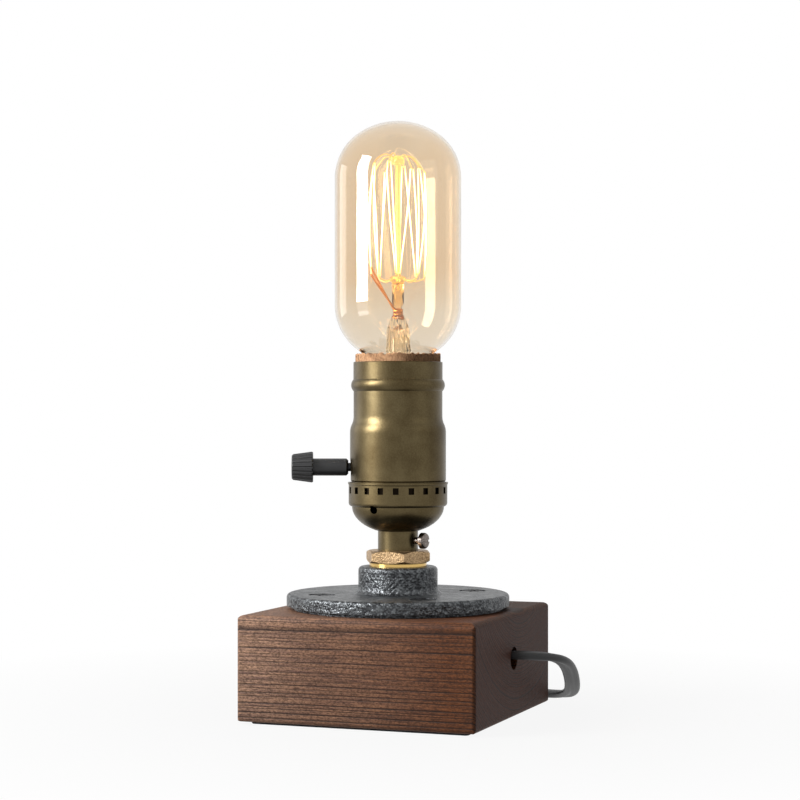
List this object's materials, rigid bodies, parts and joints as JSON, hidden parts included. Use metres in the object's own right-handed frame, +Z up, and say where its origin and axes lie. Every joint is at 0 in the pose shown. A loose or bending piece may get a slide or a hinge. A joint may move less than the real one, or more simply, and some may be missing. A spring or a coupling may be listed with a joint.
{
  "type": "table lamp",
  "caption": "Industrial table lamp: a stained wood block with an iron pipe flange, a brass turn-knob socket and a tubular amber filament bulb, with a black cord and plug.",
  "frame": {"origin": "middle of the underside of the felt pad that the block stands on", "axes": "+X out of the face that the cord leaves, +Y to the back of the block, +Z up along the socket and the bulb"},
  "size_m": [0.1281, 0.1695, 0.21],
  "materials": {
    "felt": "pressed wool felt, dark",
    "stained_wood": "dark stained, satin lacquer",
    "cast_iron": "rough sand casting, black oiled",
    "dark_steel": "blackened",
    "raw_brass": "machined, unlacquered",
    "antique_brass": "antiqued satin",
    "kraft_liner": "kraft insulating card",
    "phenolic": "moulded",
    "contact_brass": "stamped",
    "shaft_steel": "turned, zinc plated",
    "knob_plastic": "moulded, satin",
    "amber_glass": "blown, pale amber",
    "stem_glass": "clear, flame worked",
    "hook_wire": "drawn wire",
    "filament_wire": "tungsten wire, glowing",
    "lead_wire": "copper-clad wire",
    "cap_metal": "rolled sheet",
    "cord_pvc": "black flat twin flex",
    "nylon": "moulded nylon",
    "plug_plastic": "moulded",
    "plated_steel": "zinc plated",
    "blade_brass": "stamped, nickel tinted"
  },
  "bodies": {
    "lamp": {"felt_pad": "felt", "wood_base": "stained_wood", "floor_flange": "cast_iron", "flange_screws": "dark_steel", "hex_bushing": "raw_brass", "threaded_nipple": "raw_brass", "socket_cap": "antique_brass", "socket_shell": "antique_brass", "cap_set_screw": "antique_brass", "insulating_liner": "kraft_liner", "socket_insulator": "phenolic", "screw_shell": "contact_brass", "centre_contact": "contact_brass", "socket_rivets": "contact_brass", "terminal_screws": "contact_brass", "switch_contact": "contact_brass", "inner_cord": "cord_pvc", "cord_run": "cord_pvc", "cord_coil": "cord_pvc", "live_wire": "cord_pvc", "neutral_wire": "cord_pvc", "cord_clamp": "nylon", "coil_tie": "nylon", "plug_body": "plug_plastic", "clamp_screws": "plated_steel", "plug_blades": "blade_brass"},
    "switch": {"knob": "knob_plastic", "switch_shaft": "shaft_steel", "switch_rotor": "phenolic"},
    "bulb_tip": {"tip_contact": "contact_brass"},
    "bulb": {"glass_envelope": "amber_glass", "glass_stem": "stem_glass", "upper_hooks": "hook_wire", "lower_hooks": "hook_wire", "filament": "filament_wire", "bulb_leads": "lead_wire", "bulb_cap": "cap_metal", "cap_insulator": "phenolic"}
  },
  "joints": [
    {"name": "knob_turn", "type": "hinge", "parent": "lamp", "child": "switch", "pos_m": [0, 0, 0.08755], "axis": [-0.9317, -0.3633, 0], "continuous": true},
    {"name": "bulb_lift", "type": "slide", "parent": "lamp", "child": "bulb_tip", "axis": [0, 0, 1], "range_m": [0, 0.0182]},
    {"name": "bulb_turn", "type": "hinge", "parent": "bulb_tip", "child": "bulb", "pos_m": [0, 0, 0.1], "axis": [0, 0, 1], "range_deg": [0, 1800]}
  ],
  "couplings": [
    {"joint": "bulb_lift", "follows": "bulb_turn", "m_per_rad": 0.00057757}
  ]
}
